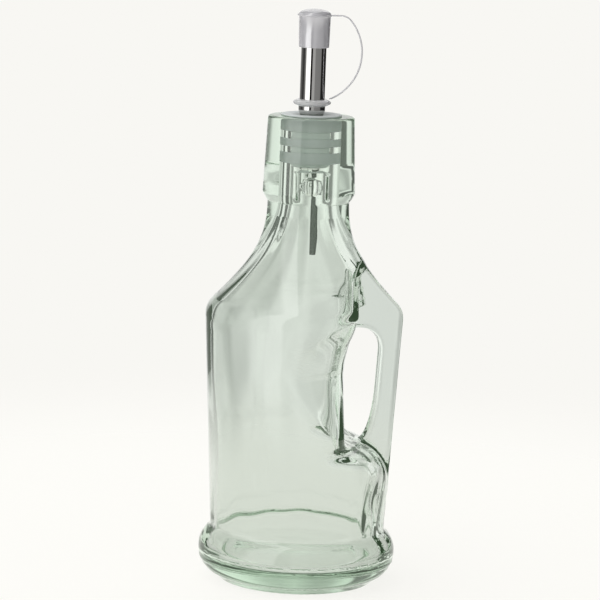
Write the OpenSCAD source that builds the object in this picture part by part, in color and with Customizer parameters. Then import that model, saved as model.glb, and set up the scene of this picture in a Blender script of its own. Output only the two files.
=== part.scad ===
// Pouring bottle for oil: one pressed glass bottle with an integral handle, closed by a push-in
// pourer. The bottle stands on z = 0 about the Z axis, its handle is on +X, and the two
// recesses of its swing-top collar face -Y and +Y.

/* [Bottle] */
// Height of the glass, foot to lip
glass_h = 187; // [184:1:190]
// Radius of the foot ring at its widest
foot_r = 39.5; // [38.5:0.1:40.5]
// Radius of the body just above the foot
waist_r = 35.1; // [34.5:0.1:35.5]
// Radius of the body under the shoulder
shoulder_r = 39.4; // [38.8:0.1:39.6]
// Outside radius of the neck under the collar
neck_r = 16.3; // [15.8:0.1:16.6]
// Outside radius of the collar at its foot
collar_r = 18.4; // [18:0.1:18.8]
// Outside radius of the collar at the lip
lip_r = 17.2; // [16.8:0.1:17.6]
// Diameter of the neck bore
neck_bore_d = 16; // [15.4:0.1:16.4]
// Thickness of the body wall
wall = 2.8; // [2.2:0.1:3.4]
// Height of the inside floor above the table
floor_z = 9; // [7:0.5:11]

/* [Handle] */
// Thickness of the flat handle, front to back
handle_t = 12; // [9:0.5:15]
// Distance of the chamber's wall beside the finger gap from the axis
chamber_side_x = 15.5; // [15:0.1:17]
// Radius in plan of the scoop that rounds the chamber's faces towards that wall
scoop_r = 45; // [40:1:60]
// Bottom of the finger gap
gap_low_z = 55.6; // [54:0.2:58]
// Top of the finger gap
gap_high_z = 103; // [101:0.2:105]
// Distance of the handle bar's inner face from the axis
gap_outer_x = 30; // [29:0.1:31]

/* [Collar recesses] */
// Width of each recess
recess_w = 12; // [10:0.5:13]
// Top of each recess
recess_top_z = 166.3; // [165:0.1:168]
// Distance of the recess floor from the axis
recess_y = 16.2; // [16:0.1:16.8]
// Radius of the round dimple at the recess floor
dimple_r = 3.7; // [3:0.1:4]
// Depth of the dimple
dimple_depth = 2.2; // [1.5:0.1:2.5]
// Height of the dimple's centre
dimple_z = 160.3; // [159.5:0.1:161]

/* [Pourer] */
// Outside diameter of the steel spout
spout_d = 10; // [9.6:0.1:10.4]
// Top of the steel spout
spout_top_z = 220.5; // [218:0.5:222]
// Length of the plug below the lip
plug_l = 20; // [18:0.5:22]
// Radius of the plug's flange
flange_r = 12; // [10:0.1:13]
// Outside diameter of the vent tube
vent_d = 2.8; // [2.4:0.1:3]
// Lower end of the vent tube
vent_low_z = 131.7; // [128:0.1:140]

/* [Cap and tether] */
// Lower edge of the cap
cap_low_z = 214; // [212:0.5:216]
// Height of the cap, skirt and dome
cap_h = 15.2; // [14.5:0.1:16]
// Radius of the tether ring
ring_r = 7.5; // [7:0.1:8]
// Radius of the wide arc that the strap bends into
strap_arc_r = 19.8; // [19.4:0.1:20.2]
// Radius of its tighter arc at the cap
strap_top_r = 5; // [4:0.1:6]
// Width of the strap
strap_w = 1.8; // [1.2:0.1:2.4]
// Thickness of the strap
strap_t = 0.6; // [0.5:0.1:0.8]

/* [Hidden] */
$fn = 96;

// One fit between turning or sliding pieces, and one between pressed pieces
running_gap = 0.05;
press = 0.02;

// Foot: a bulging ring over a small rest rim, with a shallow push-up inside it
foot_mid_z = 12.2;
foot_bulge = 8;
rest_r = 30.4;
rest_inner_r = 26;
push_up = 2.2;
groove_z = 21.6;
waist_z = 22.8;

// Shoulder, neck and collar heights
shoulder_arc_r = 7.6;
shoulder_z = glass_h - 79.7;
collar_z = glass_h - 30.6;
neck_z = glass_h - 34;
lip_round = 1;
mouth_round = 1;
bore_r = neck_bore_d / 2;

// Inside of the chamber
chamber_floor_r = waist_r - wall;
inner_shoulder_r = shoulder_r - wall;
inner_shoulder_z = shoulder_z - 1.8;
inner_arc_r = 6;
floor_corner_r = 8;
bore_low_z = glass_h - 35;

// Side view of the handle: the shelf below the gap, the root of the web above it and the ledge beside that
shelf_far_x = 37.6;
shelf_far_z = 36;
shelf_mid_x = 24;
shelf_mid_z = 56.6;
scoop_low = [26, 63.5];
scoop_mid = [17.5, 86];
scoop_high = [26.5, 108.7];
web_root_x = 19.7;
web_root_z = 120.5;
ledge_x = 23;
ledge_z = 113;
ledge_t = 19;
ledge_top_z = 139;
web_top_z = 134;
web_inner_x = 10;
scoop_axis = scoop_r - 15.9;
far = 60;

// Plug
plug_core_r = 6.2;
plug_fin_r = bore_r - running_gap;
plug_seat_z = glass_h + running_gap;
dish_r = 5;
dish_z = plug_seat_z - 0.45;
plug_low_z = glass_h - plug_l;
fin_round = 0.6;
fins = [[glass_h - 6, 5.3], [glass_h - 12, 3.5], [glass_h - 18.7, 4.7]];

// Steel parts
spout_r = spout_d / 2;
tube_wall = 0.5;
stem_r = 4.2;
stem_bore_r = 3.75;
cup_floor_z = glass_h + 2.4;
cup_top_z = glass_h + 3.9;
cup_r = spout_r + 0.3;
vent_r = vent_d / 2;
vent_wall = 0.4;
vent_x = stem_bore_r + press - vent_r;
vent_top_z = spout_top_z - 2.5;

// Cap, ring and strap
cap_bore_r = spout_r + running_gap;
cap_low_r = 6;
cap_high_r = 6.3;
cap_rim_r = 6.95;
cap_rim_z = cap_low_z + 12.4;
cap_rim_t = 0.6;
cap_top_z = cap_low_z + cap_h;
cap_ceiling_z = cap_top_z - 1.9;
ring_low_z = cup_top_z + running_gap;
ring_h = 2.6;
lug_w = strap_w + 0.4;
strap_low_z = ring_low_z + ring_h + 0.1;
strap_end_x = cap_rim_r + running_gap;
strap_end_z = cap_rim_z + cap_rim_t / 2;
strap_c = [-0.75, strap_end_z - strap_top_r - 9.7];
strap_turn = asin(9.7 / (strap_arc_r - strap_top_r));
strap_top_c = strap_c + (strap_arc_r - strap_top_r) * [cos(strap_turn), sin(strap_turn)];

// Points of an arc about c, from angle a0 to a1, with radii rx and ry
function arc(c, rx, ry, a0, a1, n) =
    [for (i = [0:n]) let (a = a0 + (a1 - a0) * i / n) c + [rx * cos(a), ry * sin(a)]];

// Points of a cubic curve from p0 to p3
function curve(p0, p1, p2, p3, n) =
    [for (i = [0:n]) let (t = i / n, s = 1 - t)
        s * s * s * p0 + 3 * s * s * t * p1 + 3 * s * t * t * p2 + t * t * t * p3];

// Half section of the outside of the bottle, foot first
function outside() =
    let (arc_c = [shoulder_r - shoulder_arc_r + 0.1, shoulder_z],
         arc_end = arc_c + shoulder_arc_r * [cos(45), sin(45)],
         foot_c = [foot_r - foot_bulge, foot_mid_z])
    concat(
        curve([0, push_up], [rest_inner_r * 0.5, push_up], [rest_inner_r * 0.9, 1], [rest_inner_r, 0], 8),
        arc([rest_r, 1], 1, 1, -90, -20, 3),
        arc(foot_c, foot_bulge, 10, -76, 0, 10),
        arc(foot_c, foot_bulge, 9.5, 8, 56, 7),
        curve([waist_r + 0.7, groove_z - 1.4], [waist_r, groove_z - 0.6], [waist_r - 0.1, groove_z],
              [waist_r, waist_z], 3),
        arc(arc_c, shoulder_arc_r, shoulder_arc_r, -3, 45, 8),
        curve(arc_end, arc_end + 18.4 * [-1, 1], [neck_r, glass_h - 47], [neck_r, neck_z], 14),
        [[neck_r + 0.8, neck_z + 1], [collar_r - 0.2, collar_z - 0.3], [collar_r, collar_z]],
        arc([lip_r - lip_round, glass_h - lip_round], lip_round, lip_round, 0, 90, 4),
        [[0, glass_h]]);

// Half section of the space inside, floor first
function inside() =
    let (arc_c = [inner_shoulder_r - inner_arc_r, inner_shoulder_z],
         arc_end = arc_c + inner_arc_r * [cos(45), sin(45)])
    concat(
        [[0, floor_z + 1], [chamber_floor_r * 0.35, floor_z + 0.6], [chamber_floor_r * 0.6, floor_z]],
        arc([chamber_floor_r - floor_corner_r, floor_z + floor_corner_r],
            floor_corner_r, floor_corner_r, -80, 0, 7),
        arc(arc_c, inner_arc_r, inner_arc_r, 0, 45, 6),
        curve(arc_end, arc_end + 20.5 * [-1, 1], [bore_r, glass_h - 49], [bore_r, bore_low_z], 12),
        [[bore_r, glass_h - mouth_round]],
        arc([bore_r + mouth_round, glass_h - mouth_round], mouth_round, mouth_round, 180, 90, 4),
        [[bore_r + mouth_round, glass_h + 1], [0, glass_h + 1]]);

// Side view of the chamber above the shelf, drawn in by inset from its handle side
function chamber_side(inset) =
    let (x = chamber_side_x - inset, z = gap_low_z + 1.8 - inset * 0.9,
         root = [web_root_x - inset, web_root_z])
    concat(
        [[-far, -1], [far, -1], [far, z + 4.6], [x + 7, z]],
        curve([x + 6.5, z], [x + 3, z - 0.2], [x, z + 0.8], [x, z + 4.6 + inset * 0.4], 5),
        [[x, 72], [x + 0.4, 84], [x + 1.2, 93], [x + 1.8, 98.5], [x + 3.5, 104], [x + 3.9, 111]],
        curve(root, root + [0.2, 3.8 + inset * 0.5], root + [1.7, 7 + inset * 0.8],
              root + [7.3, 8.5 + inset], 6),
        [[far, web_root_z + 9 + inset], [far, far * 4], [-far, far * 4]]);

// Outline, turned about the scoop's axis, of the shelf and of the scoop in the chamber's faces above it
function scoop_side(inset) =
    let (far_x = shelf_far_x - inset * 0.5, far_z = shelf_far_z - inset * 0.6,
         shelf = [shelf_mid_x - inset * 0.4, shelf_mid_z - inset], in = [-inset, 0])
    concat(
        [[-scoop_axis, -1], [far, -1], [far, far_z]],
        curve([far_x, far_z], [far_x - 0.4, far_z + 9], shelf + [8, -1.5], shelf, 8),
        [shelf + [1.2, 2]],
        curve(scoop_low + in, scoop_low + in + [-3.5, 8.5], scoop_mid + in + [0.1, -7.5], scoop_mid + in, 6),
        curve(scoop_mid + in + [0.2, 2], scoop_mid + in + [0.2, 8], scoop_high + in + [-4.5, -7.7],
              scoop_high + in, 6),
        [[far, 125], [far, far * 4], [-scoop_axis, far * 4]]);

// A side view drawn in X and Z, given the thickness t along Y
module side_slab(t, points) {
    rotate([90, 0, 0])
        linear_extrude(t, center = true)
            polygon(points);
}

// Where the chamber may be, inside or outside
module chamber_zone(inset) {
    intersection() {
        side_slab(2 * far, chamber_side(inset));
        translate([-scoop_axis, 0, 0])
            rotate_extrude()
                polygon([for (p = scoop_side(inset)) p + [scoop_axis, 0]]);
    }
}

// The finger gap, open through the handle along Y
module finger_gap() {
    side_slab(2 * handle_t, concat(
        [[web_inner_x, gap_low_z]],
        curve([20.5, gap_low_z], [25.5, gap_low_z], [gap_outer_x - 1.4, gap_low_z + 8.4],
              [gap_outer_x - 0.4, gap_low_z + 22.4], 8),
        curve([gap_outer_x + 0.4, gap_high_z - 9], [gap_outer_x + 0.6, gap_high_z - 3.5],
              [gap_outer_x - 2.5, gap_high_z], [gap_outer_x - 8, gap_high_z], 7),
        [[web_inner_x, gap_high_z]]));
}

// The flat handle: the outline of the bottle between chamber and rim, with its gap
module handle_blade() {
    difference() {
        intersection() {
            rotate_extrude() polygon(outside());
            translate([web_inner_x, -handle_t / 2, shelf_far_z])
                cube([far, handle_t, web_top_z - shelf_far_z]);
        }
        finger_gap();
    }
}

// Ledge on both faces of the web, beside the chamber
module web_ledge() {
    intersection() {
        rotate_extrude() polygon(outside());
        side_slab(ledge_t, [[web_inner_x, ledge_z - 1.8], [19.6, ledge_z - 1.8], [ledge_x, ledge_z],
                            [20.7, ledge_z + 9.5], [19.3, ledge_top_z - 9], [17.6, ledge_top_z],
                            [web_inner_x, ledge_top_z]]);
    }
}

// One recess and dimple of the swing-top collar, facing -Y
module collar_recess() {
    translate([-recess_w / 2, -recess_y - 5, neck_z])
        cube([recess_w, 5, recess_top_z - neck_z]);
    ball_r = (dimple_r * dimple_r + dimple_depth * dimple_depth) / (2 * dimple_depth);
    translate([0, -recess_y + dimple_depth - ball_r, dimple_z])
        sphere(ball_r);
}

module glass_bottle() {
    color([0.80, 0.87, 0.81, 0.45])
        difference() {
            union() {
                intersection() {
                    rotate_extrude() polygon(outside());
                    chamber_zone(0);
                }
                handle_blade();
                web_ledge();
            }
            intersection() {
                rotate_extrude() polygon(inside());
                chamber_zone(wall + 0.2);
            }
            for (turn = [0, 180])
                rotate([0, 0, turn]) collar_recess();
        }
}

// Push-in plug: a thin dished flange over a core with three soft fins
module stopper() {
    color([0.72, 0.77, 0.75])
        difference() {
            rotate_extrude()
                polygon(concat(
                    [[0, plug_low_z], [plug_core_r - 0.8, plug_low_z], [plug_core_r, plug_low_z + 0.8]],
                    [for (i = [2:-1:0]) let (z = fins[i][0], h = fins[i][1])
                        each [[plug_core_r, z], [plug_fin_r - fin_round, z], [plug_fin_r, z + fin_round],
                              [plug_fin_r, z + h - fin_round], [plug_fin_r - fin_round, z + h],
                              [plug_core_r, z + h]]],
                    [[plug_core_r, plug_seat_z]],
                    arc([flange_r - 0.3, plug_seat_z + 0.3], 0.3, 0.3, -90, 70, 4),
                    curve([flange_r - 0.8, plug_seat_z + 0.65], [9, plug_seat_z + 0.9],
                          [6.8, plug_seat_z + 0.7], [dish_r, dish_z], 6),
                    [[0, dish_z]]));
            translate([0, 0, plug_low_z - 1])
                cylinder(r = stem_r, h = plug_l + 5);
        }
}

// Bowl-shaped steel ferrule: holds the spout in its cup, its stem runs through the plug
module spout_ferrule() {
    color([0.78, 0.78, 0.77])
        rotate_extrude()
            polygon(concat(
                [[stem_bore_r, plug_low_z - 1], [stem_r + press, plug_low_z - 1],
                 [stem_r + press, dish_z]],
                curve([stem_r + press, dish_z + 0.05], [stem_r + 0.5, dish_z + 0.6],
                      [cup_r, dish_z + 1.9], [cup_r, cup_floor_z + 0.3], 6),
                arc([cup_r - 0.2, cup_top_z - 0.2], 0.2, 0.2, 0, 90, 2),
                [[spout_r - press, cup_top_z], [spout_r - press, cup_floor_z],
                 [stem_bore_r, cup_floor_z - 0.8]]));
}

module spout_tube() {
    inner_r = spout_r - tube_wall;
    color([0.80, 0.80, 0.79])
        rotate_extrude()
            polygon(concat(
                [[inner_r, cup_floor_z + running_gap], [spout_r, cup_floor_z + running_gap]],
                arc([spout_r - tube_wall / 2, spout_top_z - tube_wall / 2],
                    tube_wall / 2, tube_wall / 2, 0, 180, 6)));
}

module vent_tube() {
    color([0.66, 0.67, 0.66])
        translate([vent_x, 0, vent_low_z])
            difference() {
                cylinder(r = vent_r, h = vent_top_z - vent_low_z);
                translate([0, 0, -1])
                    cylinder(r = vent_r - vent_wall, h = vent_top_z - vent_low_z + 2);
            }
}

// Ring of the tether, which turns on the spout above the ferrule, with a lug for the strap
module tether_ring() {
    mid_z = ring_low_z + ring_h / 2;
    lug_x = cap_bore_r + 0.5;
    color([0.88, 0.88, 0.88])
        union() {
            rotate_extrude()
                polygon(concat(
                    [[cap_bore_r, ring_low_z], [cap_bore_r + 0.7, ring_low_z]],
                    arc([ring_r - 0.7, mid_z], 0.7, 0.7, -60, 60, 6),
                    [[cap_bore_r + 0.7, ring_low_z + ring_h], [cap_bore_r, ring_low_z + ring_h]]));
            translate([lug_x, -lug_w / 2, mid_z])
                cube([ring_r - lug_x, lug_w, strap_low_z - mid_z]);
        }
}

// One edge of the strap in the side view, at offset h from its middle line, cap end first
function strap_edge(h) =
    concat(
        [[strap_end_x, strap_end_z + h]],
        arc(strap_top_c, strap_top_r + h, strap_top_r + h, 90, strap_turn, 6),
        arc(strap_c, strap_arc_r + h, strap_arc_r + h, strap_turn - 3,
            -asin((strap_c[1] - strap_low_z) / (strap_arc_r + h)), 16));

// Strap between ring and cap, bent round by its own spring
module tether_strap() {
    low = strap_edge(-strap_t / 2);
    color([0.88, 0.88, 0.88])
        side_slab(strap_w, concat(
            strap_edge(strap_t / 2),
            [for (i = [len(low) - 1:-1:0]) low[i]]));
}

// Cap: a thin skirt on the spout, a rim and a low dome
module pour_cap() {
    dome_r = cap_high_r + 0.1;
    color([0.72, 0.72, 0.74])
        rotate_extrude()
            polygon(concat(
                [[cap_bore_r, cap_low_z], [cap_low_r - 0.15, cap_low_z], [cap_low_r, cap_low_z + 0.2],
                 [cap_high_r, cap_rim_z - 0.3]],
                arc([cap_rim_r - cap_rim_t / 2, cap_rim_z + cap_rim_t / 2],
                    cap_rim_t / 2, cap_rim_t / 2, -90, 90, 6),
                arc([0, cap_rim_z + cap_rim_t], dome_r, cap_top_z - cap_rim_z - cap_rim_t, 0, 90, 10),
                [[0, cap_ceiling_z], [cap_bore_r - 0.5, cap_ceiling_z], [cap_bore_r, cap_ceiling_z - 0.5]]));
}

glass_bottle();
stopper();
spout_tube();
spout_ferrule();
vent_tube();
tether_ring();
tether_strap();
pour_cap();
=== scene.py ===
"""Looks of the glass oil bottle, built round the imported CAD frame. Lengths are in metres unless a name
says mm: the glass and the turned pieces are drawn in millimetres about the bottle's axis and scaled once."""

import math

import bpy
import numpy as np
import openvdb
from mathutils import Matrix, Vector


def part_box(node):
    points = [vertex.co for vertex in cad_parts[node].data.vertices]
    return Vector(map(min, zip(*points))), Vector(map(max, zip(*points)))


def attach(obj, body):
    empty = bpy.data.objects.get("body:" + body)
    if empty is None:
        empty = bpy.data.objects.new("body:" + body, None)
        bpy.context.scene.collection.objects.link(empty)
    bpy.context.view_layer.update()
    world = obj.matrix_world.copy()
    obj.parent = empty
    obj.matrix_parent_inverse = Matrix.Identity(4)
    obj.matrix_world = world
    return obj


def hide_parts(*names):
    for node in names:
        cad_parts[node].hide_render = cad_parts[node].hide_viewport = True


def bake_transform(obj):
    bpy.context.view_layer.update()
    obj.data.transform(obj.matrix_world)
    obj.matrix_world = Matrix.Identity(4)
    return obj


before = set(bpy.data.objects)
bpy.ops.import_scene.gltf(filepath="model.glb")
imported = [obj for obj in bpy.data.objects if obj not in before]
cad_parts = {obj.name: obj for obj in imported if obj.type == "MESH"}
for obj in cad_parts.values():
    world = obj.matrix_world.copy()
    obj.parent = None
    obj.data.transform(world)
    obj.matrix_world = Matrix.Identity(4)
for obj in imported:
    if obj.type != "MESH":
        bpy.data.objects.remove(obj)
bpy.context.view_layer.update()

MM = 0.001
scene = bpy.context.scene


def top_mm(node):
    """Height of a CAD node's top, in mm."""
    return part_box(node)[1][2] / MM


def bottom_mm(node):
    """Height of a CAD node's underside, in mm."""
    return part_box(node)[0][2] / MM


def radius_mm(node):
    """Half of a CAD node's size along Y, in mm: the radius of a turned piece."""
    return (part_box(node)[1][1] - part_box(node)[0][1]) / 2 / MM


# ---------------------------------------------------------------- outlines of the glass, in mm

GLASS_H = top_mm("glass_bottle")
FOOT_R = radius_mm("glass_bottle")
WAIST_R = 35.1
SHOULDER_R = FOOT_R - 0.1
NECK_R = 16.3
COLLAR_R = 18.4
LIP_R = 17.2
BORE_R = 8.0
WALL = 2.8
HANDLE_WALL = 3.0
FLOOR_Z = 9.0
PUSH_UP = 2.2


def arc(centre, rx, ry, a0, a1, n):
    """Points of an elliptical arc about centre, between two angles in degrees."""
    angles = np.radians(np.linspace(a0, a1, n + 1))
    return [(centre[0] + rx * math.cos(a), centre[1] + ry * math.sin(a)) for a in angles]


def curve(p0, p1, p2, p3, n):
    """Points of a cubic curve from p0 to p3."""
    p0, p1, p2, p3 = (np.array(p, float) for p in (p0, p1, p2, p3))
    points = []
    for t in np.linspace(0, 1, n + 1):
        s = 1 - t
        points.append(tuple(s**3 * p0 + 3 * s * s * t * p1 + 3 * s * t * t * p2 + t**3 * p3))
    return points


def outside_outline():
    """Half section of the outside of the bottle, foot first."""
    arc_r = 7.6
    arc_c = np.array([SHOULDER_R - arc_r + 0.1, GLASS_H - 79.7])
    arc_end = arc_c + arc_r * math.sqrt(0.5)
    foot_c = (FOOT_R - 8, 12.2)
    return (
        curve((0, PUSH_UP), (13, PUSH_UP), (23.4, 1), (26, 0), 16)
        + arc((30.4, 1), 1, 1, -90, -20, 4)
        + arc(foot_c, 8, 10, -76, 0, 24)
        + arc(foot_c, 8, 9.5, 4, 56, 16)
        + curve((WAIST_R + 0.7, 20.2), (WAIST_R, 21), (WAIST_R - 0.1, 21.6), (WAIST_R, 22.8), 6)
        + arc(arc_c, arc_r, arc_r, -3, 45, 20)
        + curve(arc_end, arc_end + (-18.4, 18.4), (NECK_R, GLASS_H - 47), (NECK_R, GLASS_H - 34), 40)
        + [(NECK_R + 0.8, GLASS_H - 33), (COLLAR_R - 0.2, GLASS_H - 30.9), (COLLAR_R, GLASS_H - 30.6)]
        + arc((LIP_R - 1, GLASS_H - 1), 1, 1, 0, 90, 8)
        + [(0, GLASS_H)]
    )


def inside_outline():
    """Half section of the space inside, floor first."""
    floor_r = WAIST_R - WALL
    flare_r = floor_r + 2.5
    arc_r = 14
    arc_c = np.array([SHOULDER_R - WALL - arc_r, GLASS_H - 84.8])
    arc_end = arc_c + arc_r * math.sqrt(0.5)
    return (
        curve((0, FLOOR_Z + 1), (8, FLOOR_Z + 1), (16, FLOOR_Z), (floor_r - 7, FLOOR_Z), 12)
        + curve((floor_r - 6, FLOOR_Z), (floor_r - 0.8, FLOOR_Z + 0.1), (flare_r, 10.6), (flare_r, 14.2), 16)
        + curve((flare_r - 0.1, 15), (flare_r - 0.4, 18.6), (floor_r + 0.3, 19), (floor_r, 23), 12)
        + arc(arc_c, arc_r, arc_r, 0, 45, 16)
        + curve(arc_end, arc_end + (-16.5, 16.5), (BORE_R, GLASS_H - 46), (BORE_R, GLASS_H - 33), 40)
        + arc((BORE_R + 1, GLASS_H - 1), 1, 1, 180, 90, 8)
        + [(BORE_R + 1, GLASS_H + 3), (0, GLASS_H + 3)]
    )


# The flat beside the handle, and the scoop turned about an upright axis on the far side of the bottle
SIDE_X = 15.5
SCOOP_AXIS = 29.1
GAP_LOW = 55.6
GAP_HIGH = 103.0
GAP_X = 30.0
# The shelf under the gap and the scoop above it, then the ledge and the root of the handle's web
SHELF_FAR = (37.6, 36.0)
SHELF_MID = (24.0, 56.6)
SCOOP_LOW = (26.0, 63.5)
SCOOP_MID = (17.5, 86.0)
SCOOP_HIGH = (26.5, 108.7)
LEDGE = (23.0, 113.0)
LEDGE_T = 19.0
LEDGE_TOP = 139.0
WEB_ROOT = (19.7, 120.5)
WEB_TOP = 134.0
HANDLE_T = 12.0
# A distance outside everything
FAR = 60.0


def chamber_side_outline():
    """Side view, in X and Z, of the chamber above the shelf."""
    root = np.array(WEB_ROOT)
    x = SIDE_X
    z = GAP_LOW + 1.8
    return (
        [(-FAR, -9), (FAR, -9), (FAR, z + 4.6)]
        + curve((x + 6.5, z), (x + 3, z - 0.2), (x, z + 0.8), (x, z + 4.6), 12)
        + curve((x, 66), (x, 80), (x + 1.0, 90), (x + 1.8, 98.5), 16)
        + curve((x + 2.6, 101), (x + 3.6, 104), (x + 3.7, 106), (x + 3.9, 111), 8)
        + curve(root, root + (0.2, 3.8), root + (1.7, 7), root + (7.3, 8.5), 16)
        + [(FAR, WEB_ROOT[1] + 9), (FAR, 240), (-FAR, 240)]
    )


def scoop_outline():
    """Outline, turned about the scoop's axis, of the shelf and of the scoop in the faces above it."""
    far, shelf, low, middle, high = (
        np.array(p) for p in (SHELF_FAR, SHELF_MID, SCOOP_LOW, SCOOP_MID, SCOOP_HIGH))
    return (
        [(-FAR, -9), (FAR, -9), (FAR, far[1])]
        + curve(far, far + (-0.4, 9), shelf + (8, -1.5), shelf, 20)
        + [shelf + (1.2, 2)]
        + curve(low, low + (-3.5, 8.5), middle + (0.1, -7.5), middle, 16)
        + curve(middle + (0.2, 2), middle + (0.2, 8), high + (-4.5, -7.7), high, 16)
        + [(FAR, 125), (FAR, 240), (-FAR, 240)]
    )


def ledge_outline():
    """Side view, in X and Z, of the ledge on both faces of the web."""
    return [
        (10, LEDGE[1] - 1.8), (19.6, LEDGE[1] - 1.8), LEDGE, (20.7, LEDGE[1] + 9.5),
        (19.3, LEDGE_TOP - 9), (17.6, LEDGE_TOP), (10, LEDGE_TOP)]


def gap_outline():
    """Side view, in X and Z, of the finger gap."""
    low, high, x = GAP_LOW, GAP_HIGH, GAP_X
    return (
        [(10, low)]
        + curve((20.5, low), (25.5, low), (x - 1.4, low + 8.4), (x - 0.4, low + 22.4), 20)
        + curve((x + 0.4, high - 9), (x + 0.6, high - 3.5), (x - 2.5, high), (x - 8, high), 16)
        + [(10, high)]
    )


# ---------------------------------------------------------------- glass as one field of distances


class Field:
    """Signed distance in mm to a closed outline, negative inside, kept as a smooth table."""

    STEP = 0.25

    def __init__(self, outline, low, high):
        self.low = np.array(low, float)
        counts = [int(math.ceil((h - l) / self.STEP)) + 4 for l, h in zip(low, high)]
        u, v = (self.low[i] + self.STEP * (np.arange(counts[i]) - 1) for i in (0, 1))
        u, v = np.meshgrid(u, v, indexing="ij")
        nearest = np.full(u.shape, 1e9)
        inside = np.zeros(u.shape, bool)
        ends = outline[1:] + outline[:1]
        for (ax, ay), (bx, by) in zip(outline, ends):
            dx, dy = bx - ax, by - ay
            length = dx * dx + dy * dy
            if length == 0:
                continue
            t = np.clip(((u - ax) * dx + (v - ay) * dy) / length, 0, 1)
            nearest = np.minimum(nearest, (u - ax - t * dx) ** 2 + (v - ay - t * dy) ** 2)
            if ay != by:
                inside ^= ((ay > v) != (by > v)) & (u < ax + dx * (v - ay) / dy)
        nearest = np.sqrt(nearest)
        self.table = np.where(inside, -nearest, nearest)

    def __call__(self, u, v):
        """The table at (u, v), through a cubic B-spline, which also rounds its edges a little."""
        pieces = []
        for axis, value in enumerate((u, v)):
            place = (value - self.low[axis]) / self.STEP + 1
            place = np.clip(place, 1, self.table.shape[axis] - 3.001)
            cell = place.astype(int)
            t = place - cell
            weights = (
                (1 - t) ** 3 / 6,
                (3 * t**3 - 6 * t**2 + 4) / 6,
                (-3 * t**3 + 3 * t**2 + 3 * t + 1) / 6,
                t**3 / 6,
            )
            pieces.append((cell, weights))
        (cell_u, weights_u), (cell_v, weights_v) = pieces
        total = 0
        for i in range(4):
            for j in range(4):
                total = total + weights_u[i] * weights_v[j] * self.table[cell_u + i - 1, cell_v + j - 1]
        return total


def smooth_min(a, b, k):
    """The lower of two distances, blended where they are within k of each other."""
    h = np.maximum(k - np.abs(a - b), 0) / k
    return np.minimum(a, b) - h**3 * k / 6


def smooth_max(a, b, k):
    return -smooth_min(-a, -b, k)


# Each outline as a field over the part of its plane that the glass can reach
outside_field = Field(outside_outline() + [(-4, GLASS_H), (-4, PUSH_UP)], (-2, -6), (58, 194))
inside_field = Field(inside_outline() + [(-4, GLASS_H + 3), (-4, FLOOR_Z + 1)], (-2, -6), (58, 194))
side_field = Field(chamber_side_outline(), (-46, -6), (58, 194))
gap_field = Field(gap_outline(), (-2, 30), (46, 130))
scoop_field = Field(scoop_outline(), (-32, -2), (46, 232))
ledge_field = Field(ledge_outline(), (-2, 90), (46, 160))

# The collar's two flats and the dimples in them
RECESS_W = 12.0
RECESS_TOP = 166.3
RECESS_Y = 16.2
DIMPLE_R = 3.7
DIMPLE_DEPTH = 2.2
DIMPLE_Z = 160.3
SEAM_HEIGHT = 0.22
SEAM_Z = 8.6
GAP_DRAFT = 0.16


def chamber_zone(x, y, z, soft):
    """Distance to the space that the chamber may fill: under its side view and inside the scoop."""
    scoop = scoop_field(np.sqrt((x + SCOOP_AXIS) ** 2 + y**2) - SCOOP_AXIS, z)
    return smooth_max(side_field(x, z), scoop, soft)


def recess(x, y, z):
    """Distance to the two collar recesses and their dimples; the far one is worn softer."""
    front_soft, far_soft = 0.5, 5
    soft = np.where(y > 0, far_soft, front_soft)
    pocket = smooth_max(np.abs(x) - RECESS_W / 2, RECESS_Y - np.abs(y), soft)
    pocket = smooth_max(pocket, z - RECESS_TOP, soft)
    pocket = smooth_max(pocket, GLASS_H - 34 - z, soft)
    ball_r = (DIMPLE_R**2 + DIMPLE_DEPTH**2) / (2 * DIMPLE_DEPTH)
    off = np.sqrt(x**2 + (z - DIMPLE_Z) ** 2 + (np.abs(y) - (RECESS_Y - DIMPLE_DEPTH + ball_r)) ** 2)
    return smooth_min(pocket, off - ball_r, 0.5)


def bump(value, centre, half_width):
    """A smooth hill of height 1 round centre."""
    return np.exp(-(((value - centre) / half_width) ** 2))


def inner_ripple(x, y, z):
    """How far, in mm, the blown inside surface wanders: slow waves, and streaks low beside the handle."""
    angle = np.arctan2(y, x)
    slow = 0.12 * np.sin(3 * angle + z / 17) + 0.06 * np.sin(7 * angle - z / 13 + 1)
    slow = slow + 0.05 * np.sin(16 * angle + 1.3 * np.sin(z / 12))
    streak = np.sin(17 * angle + 1.5 * np.sin(z / 9)) + 0.6 * np.sin(29 * angle - 1.2 * np.sin(z / 7) + 2)
    beside_handle = bump(angle, 0, 0.6) * bump(z, 30, 13)
    return slow + beside_handle * (1.7 + 0.45 * streak)


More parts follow.
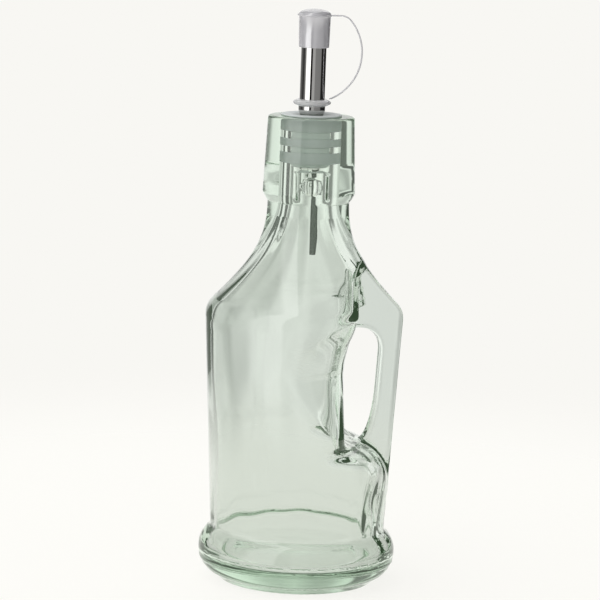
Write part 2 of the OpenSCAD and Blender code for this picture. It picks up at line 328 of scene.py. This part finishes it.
def glass_distance(x, y, z):
    """Signed distance to the glass, in mm."""
    r = np.sqrt(x**2 + y**2)
    envelope = outside_field(r, z) - SEAM_HEIGHT * bump(z, SEAM_Z, 0.55) * (r > 30)
    chamber = smooth_max(envelope, chamber_zone(x, y, z, 3), 2.5 + 5 * bump(z, 86, 20))
    blade = smooth_max(envelope, np.abs(y) - HANDLE_T / 2, 1.6)
    blade = smooth_max(blade, smooth_max(10 - x, SHELF_FAR[1] - z, 2), 2)
    blade = smooth_max(blade, z - WEB_TOP, 2)
    blade = smooth_max(blade, GAP_DRAFT * (np.abs(y) - 3) - gap_field(x, z), 1.6)
    ledge = smooth_max(ledge_field(x, z), np.abs(y) - LEDGE_T / 2, 0.8)
    ledge = smooth_max(envelope, ledge, 0.8)
    body = smooth_min(smooth_min(chamber, blade, 1.2), ledge, 0.8)
    # Known fault: staying HANDLE_WALL inside the whole envelope also closes the bore just under the lip
    cavity = smooth_max(inside_field(r, z), chamber + HANDLE_WALL, 2)
    cavity = cavity + inner_ripple(x, y, z) * (z < GLASS_H - 40) * (z > FLOOR_Z + 2)
    glass = smooth_max(body, -cavity, 0.8)
    return smooth_max(glass, -recess(x, y, z), 0.6)


def glass_gradient(points):
    """Unit normals of the distance field at points, from differences across a short step."""
    step = 0.04
    normals = np.empty_like(points)
    for axis in range(3):
        shift = np.zeros(3)
        shift[axis] = step
        normals[:, axis] = glass_distance(*(points + shift).T) - glass_distance(*(points - shift).T)
    return normals / np.maximum(np.linalg.norm(normals, axis=1, keepdims=True), 1e-9)


def glass_mesh():
    """The glass as one closed mesh: a net over the field, drawn exactly onto its surface."""
    cell = np.array([1.12, 1.12, 0.72])
    margin = 3
    outside = 5.0
    most_move = 0.4
    low = np.array([-FOOT_R - margin, -FOOT_R - margin, -margin])
    high = np.array([FOOT_R + margin, FOOT_R + margin, GLASS_H + margin])
    axes = [np.arange(l, h, c) for l, h, c in zip(low, high, cell)]
    x, y, z = np.meshgrid(*axes, indexing="ij")
    values = glass_distance(x.ravel(), y.ravel(), z.ravel()).reshape(x.shape)
    grid = openvdb.FloatGrid(outside)
    grid.copyFromArray(values.astype(np.float32))
    points, quads = grid.convertToQuads()
    points = low + points.astype(float) * cell
    for _ in range(4):
        step = glass_distance(*points.T)[:, None] * glass_gradient(points)
        points -= np.clip(step, -most_move, most_move)
    normals = glass_gradient(points)
    corner = points[quads]
    facing = np.cross(corner[:, 2] - corner[:, 0], corner[:, 3] - corner[:, 1])
    if np.sum(facing * normals[quads[:, 0]]) < 0:
        quads = quads[:, ::-1]
    mesh = bpy.data.meshes.new("bottle_glass")
    mesh.from_pydata((points * MM).tolist(), [], quads.tolist())
    mesh.shade_smooth()
    mesh.normals_split_custom_set_from_vertices(normals.tolist())
    return mesh


def add_object(name, mesh, material):
    """A mesh as an object in the scene, with one material."""
    mesh.materials.append(material)
    piece = bpy.data.objects.new(name, mesh)
    scene.collection.objects.link(piece)
    return piece


# ---------------------------------------------------------------- materials


def new_material(name):
    """A new material with its nodes, links and main shader."""
    material = bpy.data.materials.new(name)
    material.use_nodes = True
    nodes = material.node_tree.nodes
    return material, nodes, material.node_tree.links, nodes["Principled BSDF"]


def glass_material():
    """Clear pressed glass: green by the length of glass that the light passes."""
    material, nodes, links, shader = new_material("green_glass")
    shader.inputs["Base Color"].default_value = (0.966, 0.985, 0.963, 1)
    shader.inputs["Transmission Weight"].default_value = 1
    shader.inputs["Roughness"].default_value = 0
    shader.inputs["IOR"].default_value = 1.5
    # A faint green glow stands for light that goes round inside the wall longer than a renderer follows it
    shader.inputs["Emission Color"].default_value = (0.6, 0.95, 0.55, 1)
    shader.inputs["Emission Strength"].default_value = 0.011
    tint = nodes.new("ShaderNodeVolumeAbsorption")
    tint.inputs["Color"].default_value = (0.16, 0.58, 0.20, 1)
    tint.inputs["Density"].default_value = 8
    links.new(tint.outputs[0], nodes["Material Output"].inputs["Volume"])
    return material


def steel_material(name, colour, rough):
    """Plain bright metal."""
    material, _, _, shader = new_material(name)
    shader.inputs["Base Color"].default_value = (*colour, 1)
    shader.inputs["Metallic"].default_value = 1
    shader.inputs["Roughness"].default_value = rough
    return material


def plastic_material(name, colour, clear, rough):
    """Moulded plastic that lets a share of the light through: clear is 0 to 1."""
    material, _, _, shader = new_material(name)
    shader.inputs["Base Color"].default_value = (*colour, 1)
    shader.inputs["Transmission Weight"].default_value = clear
    shader.inputs["Roughness"].default_value = rough
    shader.inputs["IOR"].default_value = 1.5
    return material


# ---------------------------------------------------------------- pieces


def turned_mesh(name, profile, around=(0, 0), sides=128):
    """A closed mesh turned from a closed profile of (radius, height) in mm about a vertical axis."""
    points, faces = [], []
    rings = []
    for r, z in profile:
        if r < 1e-6:
            rings.append([len(points)] * sides)
            points.append((around[0], around[1], z))
            continue
        rings.append(list(range(len(points), len(points) + sides)))
        for j in range(sides):
            a = 2 * math.pi * (j + 0.5) / sides
            points.append((around[0] + r * math.cos(a), around[1] + r * math.sin(a), z))
    for low, high in zip(rings, rings[1:] + rings[:1]):
        for j in range(sides):
            k = (j + 1) % sides
            corners = []
            for corner in (low[j], low[k], high[k], high[j]):
                if corner not in corners:
                    corners.append(corner)
            if len(corners) > 2:
                faces.append(corners)
    mesh = bpy.data.meshes.new(name)
    mesh.from_pydata([tuple(c * MM for c in p) for p in points], [], faces)
    mesh.shade_smooth()
    mesh.set_sharp_from_angle(angle=math.radians(50))
    return mesh


def add_piece(name, mesh, material, node, body):
    """A piece that stands for a CAD node and rides on its body."""
    piece = add_object(name, mesh, material)
    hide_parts(node)
    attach(piece, body)
    return piece


add_piece("bottle_glass", glass_mesh(), glass_material(), "glass_bottle", "bottle")

ring_plastic = plastic_material("ring_plastic", (0.93, 0.93, 0.94), 0.65, 0.12)
steel = steel_material("polished_steel", (0.66, 0.65, 0.64), 0.07)
# Painted shade: the vent tube is the spout's steel painted far darker, to look shaded inside the bottle.
shade_painted_steel = steel_material("steel_with_painted_shade", (0.10, 0.11, 0.10), 0.25)
soft_plastic = plastic_material("plug_plastic", (0.66, 0.70, 0.70), 0.15, 0.45)
cap_plastic = plastic_material("cap_plastic", (0.80, 0.79, 0.83), 0.55, 0.22)
gloss = cap_plastic.node_tree.nodes["Principled BSDF"]
gloss.inputs["Coat Weight"].default_value = 1
gloss.inputs["Coat Roughness"].default_value = 0.04
gloss.inputs["Coat IOR"].default_value = 2.4

# Pourer, in mm; FINS holds each fin's lowest point and height
SPOUT_R = 5.0
SPOUT_TOP = top_mm("spout_tube")
TUBE_WALL = 0.5
CUP_R = 5.3
CUP_FLOOR = bottom_mm("spout_tube") - 0.05
CUP_TOP = top_mm("spout_ferrule")
STEM_R = 4.2
STEM_BORE_R = 3.75
STEM_LOW = bottom_mm("spout_ferrule")
SEAT_Z = GLASS_H + 0.05
DISH_Z = SEAT_Z - 0.45
FLANGE_R = radius_mm("stopper")
PLUG_LOW = bottom_mm("stopper")
FIN_R = BORE_R + 0.03
FINS = ((GLASS_H - 18.7, 4.7), (GLASS_H - 12, 3.5), (GLASS_H - 6, 5.3))

tube_profile = (
    [(SPOUT_R - TUBE_WALL, CUP_FLOOR + 0.05), (SPOUT_R, CUP_FLOOR + 0.05)]
    + arc((SPOUT_R - TUBE_WALL / 2, SPOUT_TOP - TUBE_WALL / 2), TUBE_WALL / 2, TUBE_WALL / 2, 0, 180, 8)
)
add_piece("spout", turned_mesh("spout", tube_profile), steel, "spout_tube", "pourer")

flare = (
    (STEM_R + 0.02, DISH_Z + 0.05),
    (STEM_R + 0.5, DISH_Z + 0.6),
    (CUP_R, DISH_Z + 1.9),
    (CUP_R, CUP_FLOOR + 0.3),
)
ferrule_profile = (
    [(STEM_BORE_R, STEM_LOW), (STEM_R, STEM_LOW), (STEM_R, DISH_Z)]
    + curve(*flare, 16)
    + arc((CUP_R - 0.25, CUP_TOP - 0.25), 0.25, 0.25, 0, 90, 6)
    + [(SPOUT_R + 0.01, CUP_TOP - 0.06), (SPOUT_R + 0.01, CUP_FLOOR), (STEM_BORE_R, CUP_FLOOR - 0.8)]
)
add_piece("ferrule", turned_mesh("ferrule", ferrule_profile), steel, "spout_ferrule", "pourer")


def stopper_profile():
    """Half section of the plug: a core with round-edged fins, under a dished flange."""
    core, fin, soft = 7.6, FIN_R, 0.35
    points = [(STEM_R + 0.01, PLUG_LOW), (core - 0.8, PLUG_LOW), (core, PLUG_LOW + 0.8)]
    for z, h in FINS:
        points += arc((core + 0.3, z - 0.3), 0.3, 0.3, 180, 90, 3)
        points += arc((fin - soft, z + soft), soft, soft, -90, 0, 6)
        points += arc((fin - soft, z + h - soft), soft, soft, 0, 90, 6)
        points += arc((core + 0.3, z + h + 0.3), 0.3, 0.3, 270, 180, 3)
    points += [(core, SEAT_Z)]
    points += arc((FLANGE_R - 0.3, SEAT_Z + 0.3), 0.3, 0.3, -90, 70, 8)
    points += curve((FLANGE_R - 0.8, SEAT_Z + 0.65), (9, SEAT_Z + 0.9), (6.8, SEAT_Z + 0.7), (5, DISH_Z), 14)
    return points + [(STEM_R + 0.01, DISH_Z)]


stopper_mesh = turned_mesh("stopper", stopper_profile())
add_piece("stopper", stopper_mesh, soft_plastic, "stopper", "pourer")

vent_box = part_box("vent_tube")
VENT_R = radius_mm("vent_tube")
VENT_WALL = 0.4
VENT_X = (vent_box[0][0] + vent_box[1][0]) / 2 / MM
vent_low, vent_high = bottom_mm("vent_tube"), top_mm("vent_tube")
vent_bore = VENT_R - VENT_WALL
vent_profile = [(vent_bore, vent_low), (VENT_R, vent_low), (VENT_R, vent_high), (vent_bore, vent_high)]
vent_mesh = turned_mesh("vent", vent_profile, (VENT_X, 0), 48)
add_piece("vent", vent_mesh, shade_painted_steel, "vent_tube", "pourer")

RING_LOW = bottom_mm("tether_ring")
RING_H = 2.6
RING_R = radius_mm("tether_ring")
RING_EDGE_R = 0.8
CAP_BORE = SPOUT_R + 0.05
ring_profile = (
    [(CAP_BORE, RING_LOW + 0.1), (CAP_BORE + 0.7, RING_LOW)]
    + arc((RING_R - RING_EDGE_R, RING_LOW + RING_H / 2), RING_EDGE_R, RING_EDGE_R, -70, 70, 12)
    + [(CAP_BORE + 0.7, RING_LOW + RING_H), (CAP_BORE, RING_LOW + RING_H - 0.1)]
)
add_piece("ring", turned_mesh("ring", ring_profile), ring_plastic, "tether_ring", "tether")

CAP_LOW = bottom_mm("pour_cap")
CAP_TOP = top_mm("pour_cap")
RIM_R = radius_mm("pour_cap")
RIM_Z = CAP_LOW + 12.4
RIM_T = 0.6
cap_profile = (
    [(CAP_BORE, CAP_LOW + 0.15)]
    + arc((5.75, CAP_LOW + 0.25), 0.25, 0.25, -120, 0, 6)
    + [(6.05, CAP_LOW + 2), (6.3, RIM_Z - 0.35)]
    + arc((RIM_R - RIM_T / 2, RIM_Z + RIM_T / 2), RIM_T / 2, RIM_T / 2, -90, 90, 10)
    + arc((0, RIM_Z + RIM_T), 6.4, CAP_TOP - RIM_Z - RIM_T, 4, 90, 24)
    + [(0, CAP_TOP - 1.9), (CAP_BORE - 0.5, CAP_TOP - 1.9), (CAP_BORE, CAP_TOP - 2.4)]
)
add_piece("cap", turned_mesh("cap", cap_profile), cap_plastic, "pour_cap", "cap")

STRAP_T = 0.6
STRAP_W = 1.8
STRAP_R = 19.8
STRAP_TOP_R = 5.0
STRAP_DROP = 9.7


def strap_mesh():
    """The strap: a band with round edges along a straight end, a tight arc and a wide one."""
    start_x, start_z = RIM_R + 0.05, RIM_Z + RIM_T / 2
    low_z = bottom_mm("tether_strap")
    centre = np.array([-0.75, start_z - STRAP_TOP_R - STRAP_DROP])
    turn = math.asin(STRAP_DROP / (STRAP_R - STRAP_TOP_R))
    top_centre = centre + (STRAP_R - STRAP_TOP_R) * np.array([math.cos(turn), math.sin(turn)])
    line = [(start_x, start_z)] + [(x, start_z) for x in np.linspace(start_x, top_centre[0], 5)[1:-1]]
    line += arc(top_centre, STRAP_TOP_R, STRAP_TOP_R, 90, math.degrees(turn), 12)
    end = -math.degrees(math.asin((centre[1] - low_z) / STRAP_R))
    line += arc(centre, STRAP_R, STRAP_R, math.degrees(turn) - 3, end, 40)
    line = np.array(line)
    along = np.gradient(line, axis=0)
    along /= np.linalg.norm(along, axis=1, keepdims=True)
    along[0] = (1, 0)
    across = np.stack([-along[:, 1], along[:, 0]], axis=1)
    corner = STRAP_T / 2 - 0.02
    section = []
    for sign, a0 in ((1, -90), (1, 0), (-1, 90), (-1, 180)):
        quarter = arc((sign * (STRAP_W / 2 - corner), 0), corner, STRAP_T / 2, a0, a0 + 90, 4)
        section += quarter if a0 in (0, 180) else quarter[:-1]
    n = len(section)
    points = []
    for (x, z), (ux, uz) in zip(line, across):
        for y, h in section:
            points.append(((x + ux * h) * MM, y * MM, max(z + uz * h, low_z) * MM))
    faces = []
    for i in range(len(line) - 1):
        for j in range(n):
            k = (j + 1) % n
            faces.append((i * n + j, i * n + k, (i + 1) * n + k, (i + 1) * n + j))
    faces.append(tuple(range(n)))
    faces.append(tuple(range(len(points) - 1, len(points) - n - 1, -1)))
    mesh = bpy.data.meshes.new("strap")
    mesh.from_pydata(points, [], faces)
    mesh.shade_smooth()
    mesh.set_sharp_from_angle(angle=math.radians(60))
    return mesh


strap = add_object("strap", strap_mesh(), cap_plastic)
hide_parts("tether_strap")
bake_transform(strap)

# ---------------------------------------------------------------- studio

CAMERA_AZIMUTH = math.radians(-4)
CAMERA_DISTANCE = 1.25
CAMERA_HEIGHT = 0.311
CAMERA_ROLL = math.radians(2.055)
AIM_SIDE = -0.001945
AIM_HEIGHT = 0.11299
SENSOR_MM = 36
LENS_MM = 190.26
BACKGROUND = (0.939, 0.930, 0.896)
FLOOR_R = 0.5
FLOOR_GLOW = 0.9
FLOOR_GLOW_THROUGH_GLASS = 0.6


def add_camera():
    """A long lens in front, a little above the bottle and tilted a little."""
    camera_data = bpy.data.cameras.new("camera")
    camera = bpy.data.objects.new("camera", camera_data)
    scene.collection.objects.link(camera)
    scene.camera = camera
    camera_data.sensor_width = SENSOR_MM
    camera_data.lens = LENS_MM
    camera_data.clip_start = 0.05
    camera_data.clip_end = 50
    side = Vector((math.cos(CAMERA_AZIMUTH), math.sin(CAMERA_AZIMUTH), 0))
    away = Vector((-side.y, side.x, 0))
    place = -CAMERA_DISTANCE * away + Vector((0, 0, CAMERA_HEIGHT))
    aim = AIM_SIDE * side + Vector((0, 0, AIM_HEIGHT))
    view = (aim - place).normalized()
    right = view.cross(Vector((0, 0, 1))).normalized()
    up = right.cross(view)
    rolled_right = math.cos(CAMERA_ROLL) * right + math.sin(CAMERA_ROLL) * up
    rolled_up = -math.sin(CAMERA_ROLL) * right + math.cos(CAMERA_ROLL) * up
    turn = Matrix((rolled_right, rolled_up, -view)).transposed().to_4x4()
    camera.matrix_world = Matrix.Translation(place) @ turn


def add_floor():
    """A pale round floor whose rim fades into the plain backdrop, and which is dimmer through glass."""
    rings, sides = 24, 96
    points = [(0, 0, 0)]
    faces = []
    for i in range(1, rings + 1):
        r = FLOOR_R * i / rings
        for j in range(sides):
            a = 2 * math.pi * j / sides
            points.append((r * math.cos(a), r * math.sin(a), 0))
    for j in range(sides):
        faces.append((0, 1 + j, 1 + (j + 1) % sides))
    for i in range(rings - 1):
        for j in range(sides):
            a, b = 1 + i * sides + j, 1 + i * sides + (j + 1) % sides
            faces.append((a, a + sides, b + sides, b))
    mesh = bpy.data.meshes.new("floor")
    mesh.from_pydata(points, [], faces)
    material, nodes, links, shader = new_material("floor")
    shader.inputs["Base Color"].default_value = (0.12, 0.12, 0.115, 1)
    shader.inputs["Roughness"].default_value = 0.9
    shader.inputs["Emission Color"].default_value = (*BACKGROUND, 1)
    ray = nodes.new("ShaderNodeLightPath")
    strength = nodes.new("ShaderNodeMapRange")
    strength.inputs["To Min"].default_value = FLOOR_GLOW
    strength.inputs["To Max"].default_value = FLOOR_GLOW_THROUGH_GLASS
    links.new(ray.outputs["Is Transmission Ray"], strength.inputs["Value"])
    links.new(strength.outputs["Result"], shader.inputs["Emission Strength"])
    place = nodes.new("ShaderNodeNewGeometry")
    length = nodes.new("ShaderNodeVectorMath")
    length.operation = "LENGTH"
    fade = nodes.new("ShaderNodeMapRange")
    fade.interpolation_type = "SMOOTHSTEP"
    fade.inputs["From Min"].default_value = FLOOR_R * 0.35
    fade.inputs["From Max"].default_value = FLOOR_R * 0.95
    fade.inputs["To Min"].default_value = 1
    fade.inputs["To Max"].default_value = 0
    links.new(place.outputs["Position"], length.inputs[0])
    links.new(length.outputs["Value"], fade.inputs["Value"])
    links.new(fade.outputs["Result"], shader.inputs["Alpha"])
    floor = add_object("floor", mesh, material)


def add_world():
    """A pale studio: plain to the camera, and with its own tones all round for each other kind of ray."""
    world = bpy.data.worlds.new("studio")
    scene.world = world
    world.use_nodes = True
    nodes, links = world.node_tree.nodes, world.node_tree.links
    nodes.clear()

    def maths(operation, a, b=None):
        """A maths node on numbers or sockets."""
        node = nodes.new("ShaderNodeMath")
        node.operation = operation
        for socket, value in zip(node.inputs, (a, b)):
            if value is None:
                continue
            if isinstance(value, (int, float)):
                socket.default_value = value
            else:
                links.new(value, socket)
        return node.outputs[0]

    def ramp(value, stops):
        """A colour ramp through the stops."""
        node = nodes.new("ShaderNodeValToRGB")
        links.new(value, node.inputs[0])
        elements = node.color_ramp.elements
        while len(elements) > 1:
            elements.remove(elements[-1])
        elements[0].position, elements[0].color = stops[0][0], (*stops[0][1], 1)
        for position, colour in stops[1:]:
            elements.new(position).color = (*colour, 1)
        return node.outputs[0]

    where = nodes.new("ShaderNodeTexCoord").outputs["Generated"]
    split = nodes.new("ShaderNodeSeparateXYZ")
    links.new(where, split.inputs[0])
    x, y = split.outputs[:2]
    # Bearing of a direction in the room: 0 behind the camera's place, 0.25 right, 0.5 behind the bottle
    turned = maths("ARCTAN2", x, maths("MULTIPLY", y, -1))
    bearing = maths("ADD", turned, -CAMERA_AZIMUTH + 2 * math.pi)
    bearing = maths("FRACT", maths("DIVIDE", bearing, 2 * math.pi))

    def steps(stops):
        """Stops of (bearing in degrees, brightness) as stops of (bearing in turns, colour)."""
        return [(degrees / 360, (v, v, v * 0.985)) for degrees, v in stops]

    # What shiny surfaces mirror: dark right side, pale back, dark left, soft box, dark flag by the camera
    mirrored = ramp(bearing, steps([
        (0, 0.50), (16, 0.50), (19, 0.28), (74, 0.26), (80, 0.02), (156, 0.02), (162, 0.9), (194, 0.9),
        (202, 0.4), (222, 0.2), (266, 0.02), (288, 0.3), (300, 2.2), (334, 2.2), (337, 0.0), (352, 0.0),
        (354, 0.5), (360, 0.5)]))
    # What glass shows through: pale, dim on the right and straight behind, with two dark flags on the left
    through = ramp(bearing, steps([
        (0, 0.9), (80, 0.9), (90, 0.3), (100, 0.25), (118, 0.25), (130, 0.9), (150, 1.0), (160, 0.9),
        (168, 0.66), (174, 0.64), (180, 0.73), (184, 0.62), (189, 0.5), (195, 0.52), (202, 0.85), (206, 0.9),
        (209, 0.14), (222, 0.14), (225, 0.95), (236, 0.9), (243, 0.08), (262, 0.08), (270, 0.9), (300, 0.9),
        (360, 0.9)]))
    # What lights dull surfaces: a bright left side and a dim right one
    lighting = ramp(bearing, steps([
        (0, 0.9), (40, 0.4), (130, 0.4), (180, 0.9), (230, 1.5), (320, 1.6), (360, 0.9)]))

    ray = nodes.new("ShaderNodeLightPath")

    def background(colour):
        """A background of one colour, or of the colour that a socket gives."""
        node = nodes.new("ShaderNodeBackground")
        if isinstance(colour, tuple):
            node.inputs["Color"].default_value = (*colour, 1)
        else:
            links.new(colour, node.inputs["Color"])
        return node.outputs[0]

    def choose(switch, otherwise, then):
        """One shader where the switch is 0 and another where it is 1."""
        node = nodes.new("ShaderNodeMixShader")
        links.new(switch, node.inputs[0])
        links.new(otherwise, node.inputs[1])
        links.new(then, node.inputs[2])
        return node.outputs[0]

    result = choose(ray.outputs["Is Glossy Ray"], background(lighting), background(mirrored))
    result = choose(ray.outputs["Is Transmission Ray"], result, background(through))
    result = choose(ray.outputs["Is Camera Ray"], result, background(BACKGROUND))
    links.new(result, nodes.new("ShaderNodeOutputWorld").inputs[0])


add_camera()
add_floor()
add_world()
scene.view_settings.view_transform = "Standard"
